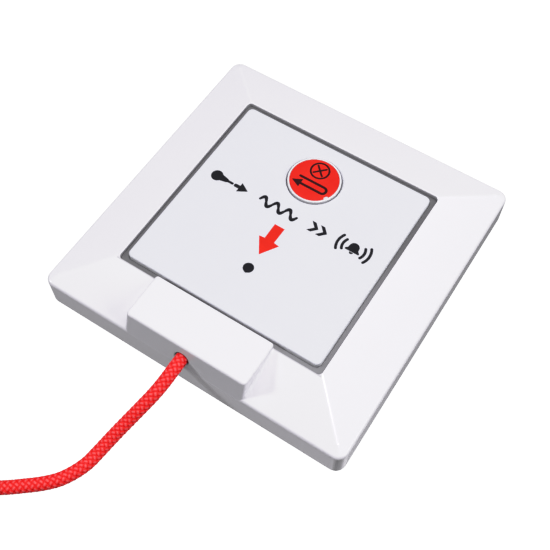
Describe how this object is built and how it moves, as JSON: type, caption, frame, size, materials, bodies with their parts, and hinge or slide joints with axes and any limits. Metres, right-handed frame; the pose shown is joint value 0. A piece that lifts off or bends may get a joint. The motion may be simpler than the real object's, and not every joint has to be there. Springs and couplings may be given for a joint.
{
  "type": "pull cord switch",
  "caption": "Square wall-mounted call switch: sloped white bezel around a flat panel with a round cancel button, and a braided cord that is pulled from a nose at its lower edge.",
  "frame": {"origin": "centre of the square back face that lies against the wall", "axes": "+Z out of the wall through the face, +Y up the wall, +X to the right of a person facing it; the cord leaves toward -Y; shown lying on its back"},
  "size_m": [0.086, 0.1372, 0.0149],
  "materials": {
    "housing_white": "satin moulded ABS",
    "panel_white": "satin moulded ABS, a little greyer than the frame",
    "carrier_grey": "grey moulded ABS",
    "base_white": "fine matt moulded ABS",
    "lens_smoke": "dark smoked acrylic",
    "led_clear": "clear epoxy",
    "board_green": "green solder mask",
    "chip_black": "moulded epoxy",
    "tinned_metal": "tin plated",
    "capacitor_sleeve": "shrink sleeve",
    "copper_wire": "enamelled copper",
    "cell_wrap": "printed film wrap",
    "spring_steel": "bright drawn wire",
    "switch_black": "moulded nylon",
    "button_white": "polished ABS",
    "label_red": "printed red film",
    "slider_white": "acetal",
    "ferrule_brass": "crimped brass",
    "cord_red": "braided polyester"
  },
  "bodies": {
    "housing": {"front_frame": "housing_white", "centre_panel": "panel_white", "panel_carrier": "carrier_grey", "wall_base": "base_white", "indicator_lens": "lens_smoke", "status_led": "led_clear", "circuit_board": "board_green", "encoder_chip": "chip_black", "saw_resonator": "tinned_metal", "buffer_capacitor": "capacitor_sleeve", "antenna_coil": "copper_wire", "board_screw_1": "tinned_metal", "board_screw_2": "tinned_metal", "board_screw_3": "tinned_metal", "board_screw_4": "tinned_metal", "battery": "cell_wrap", "battery_contact_positive": "tinned_metal", "battery_spring_negative": "spring_steel", "cancel_switch_body": "switch_black", "call_switch_body": "switch_black", "return_spring": "spring_steel"},
    "slider": {"pull_slider": "slider_white", "cord_ferrule": "ferrule_brass", "cord_lead": "cord_red"},
    "call_plunger": {"call_switch_plunger": "switch_black"},
    "button": {"cancel_button": "button_white", "cancel_label": "label_red"},
    "cancel_plunger": {"cancel_switch_plunger": "switch_black"},
    "cord_near": {"cord_neck": "cord_red"},
    "cord_far": {"cord_tail": "cord_red"}
  },
  "joints": [
    {"name": "cord_pull", "type": "slide", "parent": "housing", "child": "slider", "axis": [0, -1, 0], "range_m": [0, 0.0035], "stiffness_N_per_m": 400, "springref_m": -0.002, "deforming": ["return_spring"]},
    {"name": "call_plunger_travel", "type": "slide", "parent": "housing", "child": "call_plunger", "axis": [0, 0, -1], "range_m": [0, 0.0007]},
    {"name": "cancel_press", "type": "slide", "parent": "housing", "child": "button", "axis": [0, 0, -1], "range_m": [0, 0.0006], "stiffness_N_per_m": 600, "springref_m": -0.0005},
    {"name": "cancel_plunger_travel", "type": "slide", "parent": "housing", "child": "cancel_plunger", "axis": [0, 0, -1], "range_m": [0, 0.0006]},
    {"name": "cord_swing", "type": "hinge", "parent": "slider", "child": "cord_near", "pos_m": [-0.00115, -0.0454, 0.01045], "axis": [0, 0, 1], "range_deg": [-30, 30]},
    {"name": "cord_lift", "type": "hinge", "parent": "cord_near", "child": "cord_far", "pos_m": [-0.0017, -0.0525, 0.0093], "axis": [-1, 0, 0], "range_deg": [0, 45]}
  ],
  "couplings": [
    {"joint": "call_plunger_travel", "follows": "cord_pull", "ratio": 0.2},
    {"joint": "cancel_plunger_travel", "follows": "cancel_press", "ratio": 1}
  ]
}
